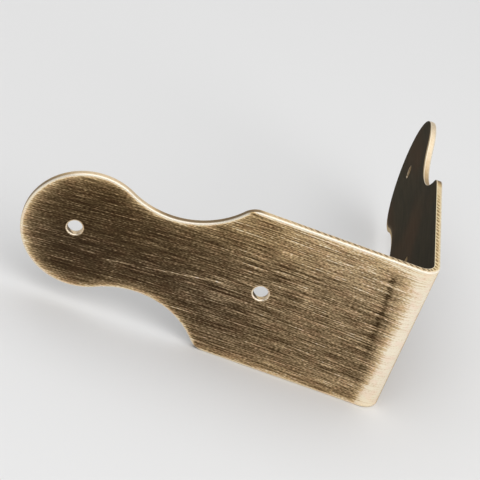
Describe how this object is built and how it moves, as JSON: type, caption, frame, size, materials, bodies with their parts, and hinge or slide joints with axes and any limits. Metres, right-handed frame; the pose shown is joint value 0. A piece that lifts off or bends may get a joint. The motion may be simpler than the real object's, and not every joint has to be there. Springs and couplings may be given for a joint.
{
  "type": "furniture corner guard",
  "caption": "Right-angle strap of thin brass sheet whose waisted, round-ended legs are screwed round the outside corner of a box or cabinet.",
  "frame": {"origin": "under the middle of the box round both legs, on the level of their lower edges", "axes": "+Z along the bend, near leg along -X with its outer face towards -Y, far leg along +Y with its outer face towards +X"},
  "size_m": [0.059, 0.059, 0.025],
  "materials": {
    "antique_brass": "antiqued, brushed along the legs, with burnished edges"
  },
  "bodies": {
    "root": {"corner_guard": "antique_brass"}
  },
  "joints": []
}
